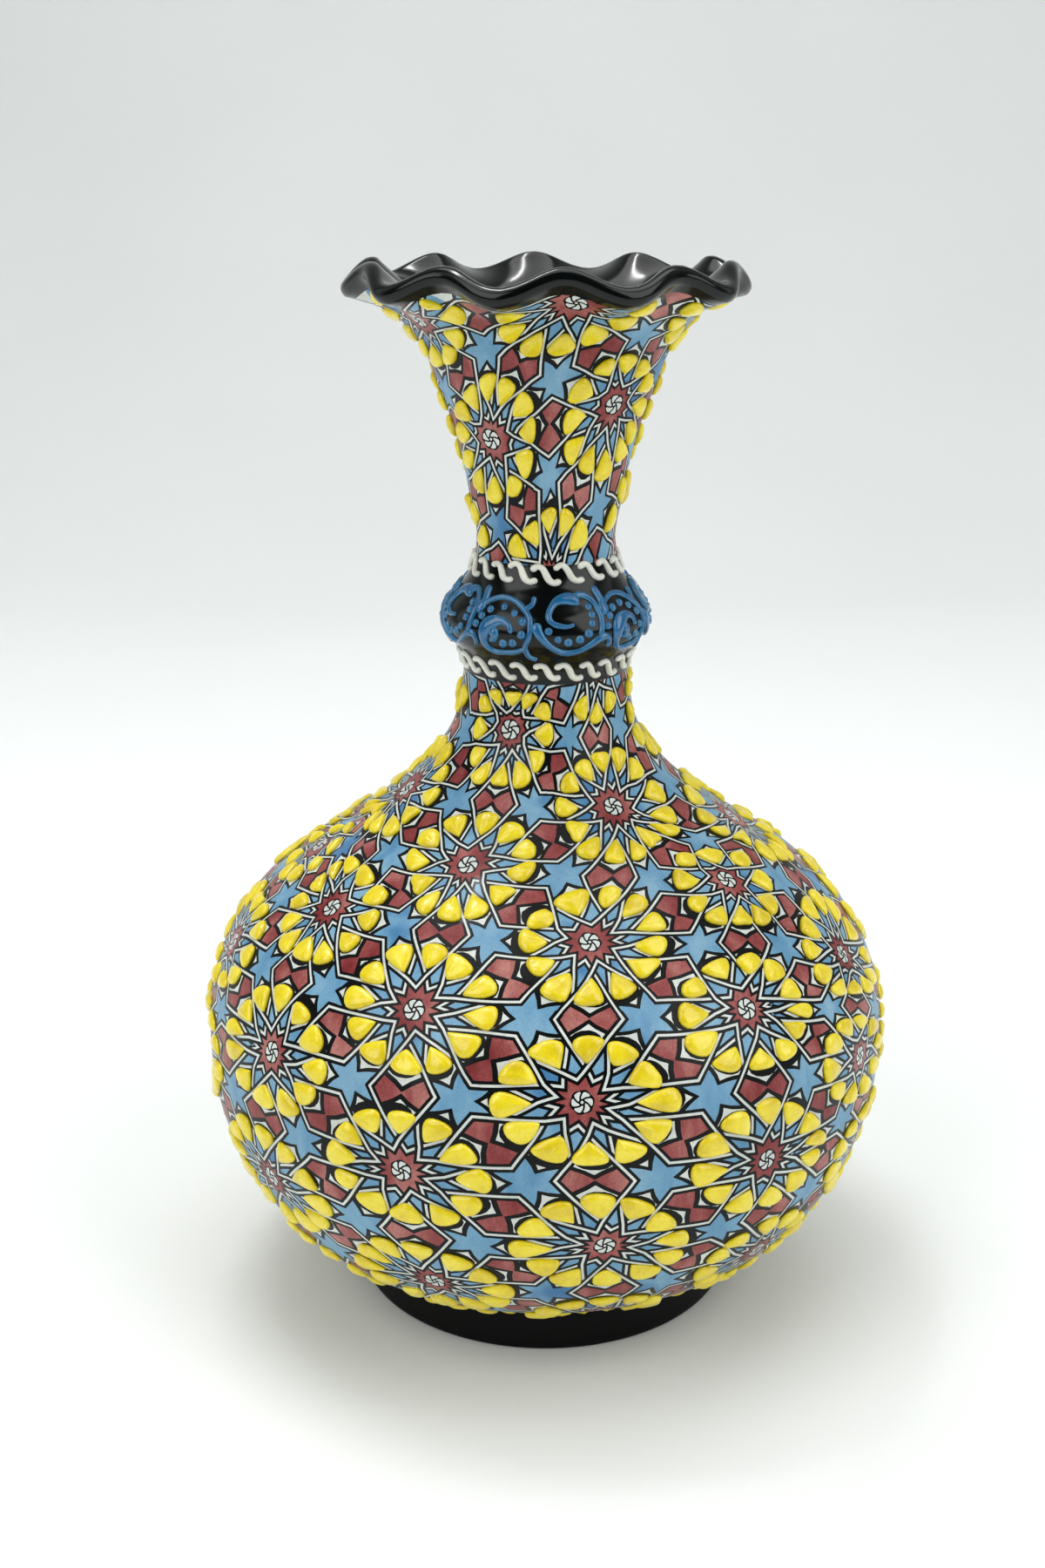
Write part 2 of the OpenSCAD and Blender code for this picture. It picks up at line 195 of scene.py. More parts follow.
class Rosette:
    """A rosette's own grid of equal triangles, stretched to fit its neighbours."""

    def __init__(self, p, rosettes):
        self.p = np.array(p)
        self.near = [np.array(w[:2]) for w in beside(p, rosettes)]
        self.n = len(self.near)
        self.gaps = [(self.near[i] + self.near[(i + 1) % self.n]) / 3 for i in range(self.n)]
        self.round = wall_r(p[1]) * math.pi / 180

    def spot(self, i, x, y):
        """(angle, arc) of a point given in pitches, with x towards neighbour i."""
        r, turn = math.hypot(x, y), math.degrees(math.atan2(y, x))
        step = round(turn / 60)
        turn = math.radians(turn - 60 * step)
        x, y, i = r * math.cos(turn), r * math.sin(turn), (i + step) % self.n
        gap = self.gaps[i] if y > 0 else self.gaps[i - 1]
        v = x * self.near[i] + abs(y) * (gap - self.near[i] / 2) / (math.tan(math.pi / 6) / 2)
        if 0 < r < CROSSING:
            v = v * self.centre_scale(r, math.hypot(v[0] * self.round, v[1]) / r)
        return self.p + v

    def centre_scale(self, r, reach):
        """The rosette's middle is drawn round, and the stretch sets in past the straps' corners."""
        middle = min(0.3 * reach + 0.7 * MIDDLE_PITCH, 1.15 * reach)
        share = max(0.0, (r - CORNER) / (CROSSING - CORNER))
        return (share * reach + (1 - share) * middle) / reach


CORNER = 0.142       # straps turn their right-angled corners this far out, in pitches
CROSSING = 0.2       # and cross each other this far out
MEETING = 0.387      # and end against a neighbouring strap this far out
MIDDLE_PITCH = 33.0  # mm to the pitch in the round middle of a rosette

# ---- drawing on the unrolled wall

BLUE, MAROON, WHITE, BLACK = range(4)
FILL, ARCH, ARCH_WHITE, DROP, STAR, FLOWER, FLOWER_WHITE, UNDER, UNDER_WHITE, OVER, OVER_WHITE = range(11)
STRAP = 0.30   # half width of a white strap, mm
EDGE = 0.72    # width of its black edge, mm


def waver(a, s):
    """The unsteady hand: a small smooth shift of every drawn point, in mm."""
    t = math.radians(a)
    dx = 0.20 * math.sin(11 * t + s / 3.1) + 0.16 * math.sin(23 * t - s / 4.3 + 1.0)
    dy = 0.20 * math.sin(13 * t - s / 3.7 + 2.0) + 0.16 * math.sin(19 * t + s / 2.9 + 0.5)
    return a + math.degrees(dx / wall_r(s)), s + dy


def refined(path, closed=False, step=3.0):
    """The path with points every few mm, each moved by the unsteady hand."""
    out = []
    pairs = zip(path, path[1:] + path[:1]) if closed else zip(path, path[1:])
    for p, q in pairs:
        mm = math.hypot(math.radians(q[0] - p[0]) * wall_r((p[1] + q[1]) / 2), q[1] - p[1])
        k = max(1, math.ceil(mm / step))
        out += [waver(*(np.array(p) + (np.array(q) - p) * j / k)) for j in range(k)]
    return out if closed else out + [waver(*path[-1])]


def offsets(path, half):
    """The two sides of a strip along a path, with mitred corners."""
    mm = [math.radians(1) * wall_r(s) for a, s in path]
    sides = ([], [])
    for i, (a, s) in enumerate(path):
        lines = []
        for j in (i - 1, i):
            if 0 <= j < len(path) - 1:
                d = np.array([(path[j + 1][0] - path[j][0]) * mm[i], path[j + 1][1] - path[j][1]])
                lines.append(d / (np.linalg.norm(d) or 1))
        n = [np.array([-d[1], d[0]]) for d in lines]
        m = n[0] + n[-1]
        m = m / max(np.linalg.norm(m), 1e-6)
        m = m / max(0.5, float(m @ n[0]))
        for side, w in zip(sides, (half, -half)):
            side.append((a + m[0] * w / mm[i], s + m[1] * w))
    return sides


class Sheet:
    """Flat coloured shapes on the unrolled wall, the later layers over the earlier."""

    def __init__(self, low, high, wide):
        self.low, self.high, self.wide, self.shapes = low, high, wide, []

    def paint(self, layer, colour, points):
        arcs = [p[1] for p in points]
        if max(arcs) < self.low or min(arcs) > self.high:
            return
        area = sum(p[0] * q[1] - q[0] * p[1] for p, q in zip(points, points[1:] + points[:1]))
        points = points if area > 0 else points[::-1]
        middle = sum(p[0] for p in points) / len(points)
        shift = -360 * round(middle / 360)
        for turn in (shift - 360, shift, shift + 360):
            moved = [(p[0] + turn, p[1]) for p in points]
            if max(p[0] for p in moved) > -180 and min(p[0] for p in moved) < 180:
                self.shapes.append((layer, colour, moved))

    def strip(self, layer, colour, path, half, cut=None):
        """A strip along a path. cut trims its last end to run along a strap that it meets."""
        left, right = offsets(path, half)
        if cut:
            left, right = cut(left), cut(right)
        self.paint(layer, colour, left + right[::-1])

    def net(self, lines=()):
        """Cuts all shapes into one net of triangles: points as (angle, arc), triangles, colours."""
        shapes = sorted(self.shapes, key=lambda shape: shape[0])
        points, faces = [], []
        frame_line = [(-180, self.low), (180, self.low), (180, self.high), (-180, self.high)]
        for shape in [frame_line] + [shape[2] for shape in shapes]:
            faces.append(list(range(len(points), len(points) + len(shape))))
            points += shape
        edges = []
        for s in lines:
            edges.append((len(points), len(points) + 1))
            points += [(-180, s), (180, s)]
        columns = np.arange(-180, 180.1, self.wide)
        rows = np.linspace(self.low, self.high, round((self.high - self.low) / 2) + 1)
        for k, s in enumerate([*rows, *lines]):
            points += [(a + (self.wide / 2 if k % 2 and abs(a) < 179 else 0), s) for a in columns]
        found, _, triangles, _, _, inside = geometry.delaunay_2d_cdt(
            [Vector(p) for p in points], edges, faces, 0, 1e-7, True)
        kept, colours = [], []
        for triangle, within in zip(triangles, inside):
            if 0 in within:
                kept.append(triangle)
                top = max(within)
                colours.append(shapes[top - 1][1] if top else BLUE)
        return np.array([tuple(v) for v in found]), kept, colours


def mirrored(half):
    """A closed outline from its upper half, which starts and ends anywhere."""
    return half + [(x, -y) for x, y in reversed(half) if abs(y) > 1e-9]


LOZENGE_HALF = 0.1732   # pitches
LOZENGE = [(CROSSING, 0), (0.5, LOZENGE_HALF), (0.8, 0), (0.5, -LOZENGE_HALF)]
INNER_CORNER = [(CROSSING, 0), (0.37, 0.098), (0.37, -0.098)]
ARCHES = {   # outlines of a petal's cell, half of each, in pitches: black, then white inside it
    "lozenge": ([(0.36, 0.0924), (0.41, 0.1212), (0.434, 0.084), (0.459, 0.045), (0.497, 0)],
                [(0.35, 0.0866), (0.386, 0.1055), (0.408, 0.076), (0.432, 0.037), (0.464, 0)]),
    "gap": ([(0.36, 0.0924), (0.374, 0.1), (0.42, 0.1), (0.444, 0.066), (0.472, 0.034), (0.512, 0)],
            [(0.35, 0.0866), (0.37, 0.096), (0.395, 0.096), (0.419, 0.058), (0.445, 0.027), (0.479, 0)])}
DROP_BLACK = [(0.222, 0), (0.25, 0.024), (0.285, 0.05), (0.32, 0.072), (0.35, 0.084), (0.378, 0.086),
              (0.406, 0.076), (0.427, 0.052), (0.438, 0.022)]
DROP_SHIFTS = {"lozenge": -0.01, "gap": 0.0}
EDGE_ROOM = 0.6                          # mm left clear of petals along the sheet's edges
CUT_SHORT = (1.0, 0.8, 0.6, 0.45)        # lengths tried for a petal, as shares of a whole one
ROOM_START, ROOM_LENGTH = 0.24, 0.185    # a whole petal's reach, in pitches
WIDEST_BACK, WIDEST_HALF = 0.05, 0.075   # its widest place, back from the round end


def turned(points, degrees):
    c, s = math.cos(math.radians(degrees)), math.sin(math.radians(degrees))
    return [(x * c - y * s, x * s + y * c) for x, y in points]


def petal_room(rosette, i, turn, sheet):
    """How much of its length a petal can have on the sheet: it is trailed short along an edge."""
    for share in CUT_SHORT:
        outer = ROOM_START + ROOM_LENGTH * share
        widest = outer - WIDEST_BACK
        extremes = [(ROOM_START + 0.005, 0), (outer, 0), (widest, WIDEST_HALF), (widest, -WIDEST_HALF)]
        ends = [rosette.spot(i, x, y)[1] for x, y in turned(extremes, turn)]
        if sheet.low + EDGE_ROOM < min(ends) and max(ends) < sheet.high - EDGE_ROOM:
            return share
    return 0


def draw_fills(sheet, rosette):
    """The blue and maroon grounds, the petals' arched cells and the star in the middle."""
    def shape(layer, colour, i, points, turn=0):
        spots = [tuple(rosette.spot(i, x, y)) for x, y in turned(points, turn)]
        sheet.paint(layer, colour, refined(spots, True))

    for i in range(rosette.n):
        shape(FILL, MAROON, i, LOZENGE)
        shape(FILL, BLUE, i, INNER_CORNER)
        for kind, turn in (("lozenge", 0), ("gap", 30)):
            outer, inner = ARCHES[kind]
            shape(ARCH, BLACK, i, mirrored(outer), turn)
            room = petal_room(rosette, i, turn, sheet)
            shape(ARCH_WHITE, WHITE if room else BLUE, i, mirrored(inner), turn)
            if room == 1:
                drift = DROP_SHIFTS[kind] + random.uniform(-0.012, 0.014)
                sway = random.uniform(-0.014, 0.014)
                drop = [(x + drift * (x > 0.3), y + sway) for x, y in mirrored(DROP_BLACK)]
                shape(DROP, BLACK, i, drop, turn)
    corner = (CORNER * math.cos(math.radians(15)), CORNER * math.sin(math.radians(15)))
    star = [turned([p], 30 * k)[0] for k in range(2) for p in ((CROSSING, 0), corner)]
    spots = [tuple(rosette.spot(i, x, y)) for i in range(rosette.n) for x, y in star]
    sheet.paint(STAR, MAROON, refined(spots, True))


FLOWER_R = 2.6        # mm
PINWHEEL_GAP = 0.24   # half the black between two white petals, mm
PINWHEEL_SWEEP = [(0.75, 0), (1.15, -14), (1.6, -26), (2.0, -34)]   # mm out, degrees round


def draw_flower(sheet, rosette):
    """A pinwheel of six white petals round a dot, drawn round."""
    a0, s0 = waver(*rosette.p)

    def polar(r, turn):
        t = math.radians(turn)
        return a0 + r * math.cos(t) / rosette.round, s0 + r * math.sin(t)

    first = random.uniform(0, 60)
    size = random.uniform(0.95, 1.05)
    rim = [polar(size * (FLOWER_R + 0.12 * math.cos(math.radians(6 * t))), first + 8 + t)
           for t in range(0, 360, 10)]
    sheet.paint(FLOWER, BLACK, rim)
    for k in range(6):
        start = first + 60 * k
        right = [polar(size * r, start + turn + math.degrees(PINWHEEL_GAP / r))
                 for r, turn in PINWHEEL_SWEEP]
        left = [polar(size * r, start + 60 + turn - math.degrees(PINWHEEL_GAP / r))
                for r, turn in reversed(PINWHEEL_SWEEP)]
        crown = [polar(size * (2.18 + 0.1 * math.sin(math.radians(t * 3))), start - 36 + t)
                 for t in (14, 26, 38, 48)]
        sheet.paint(FLOWER_WHITE, WHITE, right + crown + left)
    sheet.paint(FLOWER_WHITE, WHITE, [polar(0.34 * size, 45 * k) for k in range(8)])


def weight(s):
    """The lines are drawn finer from the belly up to the collar, and on the neck."""
    return float(np.interp(s, (90, 135), (1.0, 0.8)))


def draw_straps(sheet, rosette):
    """Bands that turn a corner towards the middle, cross, and frame the lozenges.
    Those with their corner before a lozenge's axis pass over, the others under."""
    for i in range(rosette.n):
        for side, black, white in ((-1, UNDER, UNDER_WHITE), (1, OVER, OVER_WHITE)):
            far = [(0.5, -side * LOZENGE_HALF), (CROSSING, 0)]
            beyond = (0.54, -side * (LOZENGE_HALF - 0.0231))
            corner = turned([(CORNER, 0)], 15 * side)[0]
            gap_side = turned([(CROSSING, 0)], 30 * side)[0]
            meeting = turned([(MEETING, 0)], 45 * side)[0]
            path = [tuple(rosette.spot(i, x, y)) for x, y in (beyond, *far, corner, gap_side, meeting)]
            path = refined(path)
            bold = weight(rosette.p[1])
            a, s = path[-1]
            mm = math.radians(1) * wall_r(s)
            # the strap that it meets runs from that neighbour's crossing to its wide corner
            lo = waver(*rosette.spot(i + side, 0.3, -side * 0.0577))
            hi = waver(*rosette.spot(i + side, 0.45, -side * 0.1443))
            run = np.array([(hi[0] - lo[0]) * mm, hi[1] - lo[1]])
            across = np.array([-run[1], run[0]]) / np.linalg.norm(run)
            arrive = np.array([(path[-2][0] - a) * mm, path[-2][1] - s])
            arrive = arrive / np.linalg.norm(arrive)
            across = across if arrive @ across > 0 else -across

            def cut(line, gap=bold * (STRAP + EDGE)):
                end = np.array([(line[-1][0] - a) * mm, line[-1][1] - s])
                t = (gap - end @ across) / max(0.2, float(arrive @ across))
                end = end + t * arrive
                kept = [q for q in line[:-1] if np.array([(q[0] - a) * mm, q[1] - s]) @ across > gap]
                return kept + [(a + end[0] / mm, s + end[1])]

            sheet.strip(black, BLACK, path, bold * (STRAP + EDGE))
            sheet.strip(white, WHITE, path, bold * STRAP, cut)


def printed(rosettes, low, high, wide):
    """The sheet of pattern between two arcs, and the rosettes drawn on it.
    wide is the width of the net's mesh, in degrees."""
    sheet = Sheet(low, high, wide)
    drawn = []
    for p in rosettes:
        if low - PITCH * 0.75 < p[1] < high + PITCH * 0.75:
            rosette = Rosette(p, rosettes)
            if rosette.n < 4:
                continue
            drawn.append(rosette)
            draw_fills(sheet, rosette)
            draw_flower(sheet, rosette)
            draw_straps(sheet, rosette)
    return sheet, drawn


# ---- meshes


def mesh_object(name, points, faces, slots, indices=None, normals=None):
    mesh = bpy.data.meshes.new(name)
    mesh.from_pydata([tuple(map(float, p)) for p in points], [], [tuple(map(int, f)) for f in faces])
    for material in slots:
        mesh.materials.append(material)
    if indices is not None:
        mesh.polygons.foreach_set("material_index", np.array(indices, np.int32))
    mesh.polygons.foreach_set("use_smooth", [True] * len(mesh.polygons))
    if normals is not None:
        mesh.normals_split_custom_set_from_vertices([tuple(map(float, n)) for n in normals])
    mesh.update()
    obj = bpy.data.objects.new(name, mesh)
    bpy.context.scene.collection.objects.link(obj)
    return obj


def closed_net(sheet, lines=()):
    """The sheet's net: points, triangles and colours, joined up along the cut at the back."""
    points, triangles, colours = sheet.net(lines)
    keys, order, where = {}, [], []
    for a, s in points:
        key = (round(-180 if a > 179.999 else a, 3), round(s, 3))
        if key not in keys:
            keys[key] = len(order)
            order.append((a if a < 179.999 else -180.0, s))
        where.append(keys[key])
    triangles = [[where[v] for v in t] for t in triangles]
    whole = [k for k, t in enumerate(triangles) if len(set(t)) == 3]
    return np.array(order), [triangles[k] for k in whole], [colours[k] for k in whole]


def angles_at(points, s):
    """Angles of the points on the line at arc s, in turn round the vase."""
    return sorted(a for a, arc in points if abs(arc - s) < 2e-3)


class Build:
    """Gathers points, faces, colours and normals of one closed piece."""

    def __init__(self):
        self.points, self.normals, self.faces, self.colours, self.crests = [], [], [], [], []

    def add(self, points, normals=()):
        start = len(self.points)
        self.points += [tuple(p) for p in points]
        self.normals += [tuple(n) for n in normals]
        return list(range(start, len(self.points)))

    def stitch(self, a, b):
        """Four-sided faces between two rings of points."""
        for k in range(len(a)):
            m = (k + 1) % len(a)
            self.faces.append((a[k], a[m], b[m], b[k]))

    def net(self, points, triangles, colours):
        """Faces of the printed wall."""
        place = self.add(on_wall(points[:, 0], points[:, 1]), wall_normals(points[:, 0], points[:, 1]))
        self.faces += [tuple(place[v] for v in t) for t in triangles]
        self.colours += list(colours)

    def lathe(self, angles, line, colour, share=None):
        """Rings round the axis through the line's [radius, height] points in mm, with the outside
        on the right as the line is followed. share is each point's part in the lip's wave."""
        line = np.array(line, float)
        share = np.zeros(len(line)) if share is None else np.array(share, float)
        angles = np.asarray(angles, float)

        def ring_at(j, turn=0.0):
            t = np.radians(angles + turn)
            r, z = crimp(angles + turn, line[j, 0], line[j, 1], share[j])
            return np.stack([r * np.sin(t), -r * np.cos(t), np.broadcast_to(z, t.shape)], -1) * MM

        last = None
        for j in range(len(line)):
            along = ring_at(min(j + 1, len(line) - 1)) - ring_at(max(j - 1, 0))
            around = ring_at(j, 0.4) - ring_at(j, -0.4)
            normal = np.cross(around, along)
            normal /= np.maximum(np.linalg.norm(normal, axis=1, keepdims=True), 1e-12)
            here = self.add(ring_at(j), normal)
            if last is not None:
                self.stitch(last, here)
                self.colours += [colour] * len(here)
            last = here

    def disc(self, angles, r, z, colour, up):
        """A flat round face, facing up or down."""
        t = np.radians(angles)
        rim = np.stack([r * np.sin(t), -r * np.cos(t), np.full(len(t), z)], -1) * MM
        loop = self.add(rim, [(0, 0, up)] * len(rim))
        centre = self.add([(0, 0, z * MM)], [(0, 0, up)])[0]
        for k in range(len(loop)):
            m = (k + 1) % len(loop)
            self.faces.append((loop[k], loop[m], centre) if up > 0 else (loop[m], loop[k], centre))
            self.colours.append(colour)

    def make(self, name, slots):
        return mesh_object(name, self.points, self.faces, slots, self.colours, self.normals)


def wall_line(curve, start, end, n):
    """[radius, height] points along the outer line or the bore."""
    return [(float(curve(z)), float(z)) for z in np.linspace(start, end, n)]


# ---- materials


class Nodes:
    """A short way to wire a material's nodes."""

    def __init__(self, name):
        self.material = bpy.data.materials.new(name)
        self.material.use_nodes = True
        self.tree = self.material.node_tree
        self.shader = self.tree.nodes["Principled BSDF"]
        self.place = self.tree.nodes.new("ShaderNodeTexCoord").outputs["Object"]

    def node(self, kind, **values):
        node = self.tree.nodes.new("ShaderNode" + kind)
        for key, value in values.items():
            if key in node.inputs:
                self.put(node.inputs[key], value)
            else:
                setattr(node, key, value)
        return node

    def put(self, socket, value):
        if isinstance(value, bpy.types.NodeSocket):
            self.tree.links.new(value, socket)
        else:
            socket.default_value = value

    def noise(self, scale, detail=3.0, rough=0.5, stretch=None):
        place = self.place
        if stretch:
            place = self.node("Mapping", Vector=place, Scale=stretch).outputs["Vector"]
        node = self.node("TexNoise", Vector=place, Scale=scale, Detail=detail, Roughness=rough)
        return node.outputs["Fac"]

    def ramp(self, factor, stops):
        node = self.node("ValToRGB", Fac=factor)
        while len(node.color_ramp.elements) < len(stops):
            node.color_ramp.elements.new(0.5)
        for element, (where, colour) in zip(node.color_ramp.elements, stops):
            element.position = where
            element.color = rgb(*colour) if len(colour) == 3 else (colour[0],) * 3 + (1,)
        return node.outputs["Color"]

    def mix(self, factor, a, b, blend="MIX"):
        node = self.node("Mix", data_type="RGBA", blend_type=blend)
        for socket, value in ((node.inputs[0], factor), (node.inputs[6], a), (node.inputs[7], b)):
            self.put(socket, value)
        return node.outputs[2]

    def remap(self, value, low, high):
        return self.node("MapRange", Value=value, **{"To Min": low, "To Max": high}).outputs["Result"]

    def bump(self, height, strength, distance):
        return self.node("Bump", Height=height, Strength=strength, Distance=distance).outputs["Normal"]

    def finish(self, colour, roughness, normal=None, **sockets):
        self.put(self.shader.inputs["Base Color"], colour)
        self.put(self.shader.inputs["Roughness"], roughness)
        if normal is not None:
            self.put(self.shader.inputs["Normal"], normal)
        for key, value in sockets.items():
            self.shader.inputs[key.replace("_", " ")].default_value = value
        return self.material


def rgb(r, g, b):
    """A linear colour from 0 to 255 display values."""
    return tuple(c / 12.92 if c <= 0.04045 else ((c + 0.055) / 1.055) ** 2.4
                 for c in (r / 255, g / 255, b / 255)) + (1.0,)


GLAZED = {"Coat_Weight": 0.08, "Coat_Roughness": 0.08, "Specular_IOR_Level": 0.12}


def print_material(name, stops, blot=None, speckle=0.35):
    """A brushed underglaze colour under clear glaze."""
    n = Nodes(name)
    brushed = n.noise(95, 4, 0.6, (1, 1, 0.35))
    colour = n.ramp(brushed, stops)
    grain = n.noise(2600, 2, 0.6)
    colour = n.mix(speckle, colour, n.ramp(grain, [(0.3, (0.62,)), (0.7, (1.1,))]), "MULTIPLY")
    if blot:
        wash = n.ramp(n.noise(42, 3, 0.55, (1, 1, 0.6)), [(0.57, (0.0,)), (0.64, (1.0,))])
        colour = n.mix(wash, colour, n.mix(0.7, colour, rgb(*blot)))
    orange_peel = n.noise(260, 2, 0.5)
    rough = n.remap(n.noise(60, 3, 0.6), 0.28, 0.44)
    return n.finish(colour, rough, n.bump(orange_peel, 0.12, 0.0004), **GLAZED)


blue_print = print_material(
    "print_blue", [(0.3, (88, 138, 172)), (0.5, (112, 158, 188)), (0.72, (140, 178, 200))],
    blot=(28, 96, 152))
maroon_print = print_material(
    "print_maroon", [(0.3, (120, 40, 42)), (0.5, (150, 76, 74)), (0.7, (190, 128, 120))], speckle=0.9)
white_print = print_material("print_white", [(0.3, (196, 203, 198)), (0.6, (216, 221, 216))])
black_print = print_material("print_black", [(0.3, (2, 4, 4)), (0.7, (7, 11, 11))])
PRINT = [blue_print, maroon_print, white_print, black_print]


def glaze_material(name, dark, light, rough, gloss):
    """A thick black glaze with slow ripples and pinholes."""
    n = Nodes(name)
    pooled = n.noise(38, 4, 0.55)
    colour = n.ramp(pooled, [(0.35, dark), (0.7, light)])
    ripple = n.noise(70, 2, 0.5, (1, 1, 0.7))
    pits = n.node("TexVoronoi", Vector=n.place, Scale=420.0).outputs["Distance"]
    pinholes = n.ramp(pits, [(0.0, (0.0,)), (0.09, (1.0,))])
    height = n.mix(0.25, ripple, pinholes)
    return n.finish(colour, n.remap(n.noise(120, 3, 0.6), *rough), n.bump(height, 0.18, 0.0008),
                    Specular_IOR_Level=gloss)


black_glaze = glaze_material("black_glaze", (2, 4, 4), (6, 9, 9), (0.10, 0.2), 0.3)
foot_black = glaze_material("satin_black", (3, 4, 4), (7, 8, 8), (0.4, 0.52), 0.12)


def enamel_material(name, stops):
    """Thick raised enamel: soft lumps, brush drag and a wet sheen."""
    n = Nodes(name)
    tone = n.ramp(n.noise(150, 3, 0.55), stops)
    grain = n.ramp(n.noise(1500, 2, 0.6), [(0.3, (0.82,)), (0.7, (1.0,))])
    colour = n.mix(0.5, tone, grain, "MULTIPLY")
    height = n.mix(0.3, n.noise(240, 3, 0.6), n.noise(900, 2, 0.6, (1, 1, 0.5)))
    return n.finish(colour, n.remap(n.noise(200, 2, 0.5), 0.22, 0.36), n.bump(height, 0.35, 0.0006),
                    Coat_Weight=0.35, Coat_Roughness=0.12)


yellow_enamel = enamel_material(
    "yellow_enamel", [(0.3, (216, 190, 10)), (0.5, (236, 214, 18)), (0.72, (244, 226, 64))])
white_enamel = enamel_material("white_enamel", [(0.3, (212, 214, 202)), (0.7, (232, 233, 222))])


def blue_with_painted_edge_highlight():
    """The blue pools dark in the middle of a stroke and runs pale at its edges. The pale edges are partly
    thin enamel and partly a painted highlight.
    """
    n = Nodes("blue_enamel")
    # painted highlight: the edges of strokes and dots, away from their crest, are painted pale, partly
    # for thin enamel and partly for light falling on them
    crest = n.node("Attribute", attribute_name="crest").outputs["Fac"]
    pale_edges_and_highlight = n.mix(0.45, crest, n.noise(420, 3, 0.6))
    colour = n.ramp(pale_edges_and_highlight, [(0.3, (112, 176, 208)), (0.46, (42, 124, 172)), (0.72, (16, 94, 142))])
    grain = n.ramp(n.noise(1500, 2, 0.6), [(0.3, (0.8,)), (0.7, (1.0,))])
    colour = n.mix(0.5, colour, grain, "MULTIPLY")
    rough = n.remap(n.noise(200, 2, 0.5), 0.14, 0.26)
    return n.finish(colour, rough, n.bump(n.noise(420, 3, 0.6), 0.4, 0.0005),
                    Coat_Weight=0.5, Coat_Roughness=0.06)


blue_enamel = blue_with_painted_edge_highlight()

# ---- the thrown body with its print

PRINT_TOP = 243.1   # the print runs up under the rim's bead to this height
GLAZE = len(PRINT)  # the black glaze's slot, after those of the print

random.seed(11)
globe_high = arc_at(COLLAR_FOOT)
globe_sheet, globe_rosettes = printed(BODY, 0.0, globe_high, 1.5)
neck_low, neck_joint, neck_high = arc_at(NECK_FOOT), arc_at(LIP_FOOT), arc_at(PRINT_TOP)
neck_sheet, neck_rosettes = printed(NECK, neck_low, neck_high, 3.0)


def joint(z, inwards):
    """The flat joint at height z, as two points of a lathe line."""
    points = [(float(radius(z)), z), (float(bore(z)), z)]
    return points if inwards else points[::-1]


def printed_globe():
    """The round body: printed outside, glazed black inside, with its floor's corner rounded."""
    points, triangles, colours = closed_net(globe_sheet)
    build = Build()
    build.net(points, triangles, colours)
    top, bottom = angles_at(points, globe_high), angles_at(points, 0.0)
    floor_z = GLOBE_FOOT + FLOOR_T
    floor_r = float(bore(floor_z))
    corner = [(floor_r - 2, floor_z - 0.8), (floor_r - 6, floor_z - 1.5)]
    build.lathe(top, joint(COLLAR_FOOT, True), GLAZE)
    build.lathe(top, wall_line(bore, COLLAR_FOOT, floor_z, 60) + corner, GLAZE)
    build.disc(top, *corner[-1], GLAZE, 1)
    build.disc(bottom, float(radius(GLOBE_FOOT)), GLOBE_FOOT, GLAZE, -1)
    return build.make("printed_globe", PRINT + [black_glaze])


globe = printed_globe()
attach(globe, "root")
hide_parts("globe")

neck_net = closed_net(neck_sheet, [neck_joint])
low_ring, joint_ring, high_ring = (angles_at(neck_net[0], s) for s in (neck_low, neck_joint, neck_high))


def part_of_neck(upper):
    """The neck's net above or below the lip's joint, without the other part's points."""
    points, triangles, colours = neck_net
    chosen = [k for k, t in enumerate(triangles)
              if (np.mean([points[v][1] for v in t]) >= neck_joint) == upper]
    triangles = [triangles[k] for k in chosen]
    used = sorted({v for t in triangles for v in t})
    number = {v: k for k, v in enumerate(used)}
    return points[used], [tuple(number[v] for v in t) for t in triangles], [colours[k] for k in chosen]


def printed_neck():
    """The trumpet neck up to the lip's joint: printed outside, glazed black inside."""
    build = Build()
    build.net(*part_of_neck(False))
    build.lathe(joint_ring, joint(LIP_FOOT, True), GLAZE)
    build.lathe(low_ring, wall_line(bore, LIP_FOOT, NECK_FOOT, 40), GLAZE)
    build.lathe(low_ring, joint(NECK_FOOT, False), GLAZE)
    return build.make("printed_neck", PRINT + [black_glaze])


neck = printed_neck()
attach(neck, "root")
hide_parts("neck")


def off(z, d):
    """[radius, height] of a point d mm out from the outer line at height z."""
    slope = float(lean(z))
    size = math.hypot(1, slope)
    return np.array([float(radius(z)) + d / size, z - d * slope / size])


def lip_lines():
    """The rim's line as [radius, height, share of the wave], from the print's edge to the inner joint."""
    height = float(height_at(neck_high))
    line = [(*off(z, 0), (z - LIP_FOOT) / (RIM_FOOT - LIP_FOOT))
            for z in np.linspace(height, RIM_FOOT, 4)]
    centre = off(RIM_FOOT, -WALL / 2)
    n = off(RIM_FOOT, 1) - off(RIM_FOOT, 0)
    along = np.array([-n[1], n[0]])
    for t in np.linspace(0, math.pi, 17)[1:]:
        line.append((*(centre + WALL / 2 * (n * math.cos(t) + along * math.sin(t))), 1.0))
    for u in np.linspace(1, 0, 14)[1:-1]:
        line.append((*off(LIP_FOOT + (RIM_FOOT - LIP_FOOT) * u, -WALL), u))
    line.append((float(bore(LIP_FOOT)), LIP_FOOT, 0.0))
    return np.array(line)


def glazed_lip():
    """The crimped lip: the print's edge outside, then the black rim and inside."""
    build = Build()
    build.net(*part_of_neck(True))
    rim = lip_lines()
    build.lathe(high_ring, rim[:, :2], GLAZE, rim[:, 2])
    build.lathe(joint_ring, joint(LIP_FOOT, False), GLAZE)
    return build.make("glazed_lip", PRINT + [black_glaze])


lip = glazed_lip()
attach(lip, "root")
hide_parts("crimped_lip")

EVEN = np.arange(0, 360, 2.0)


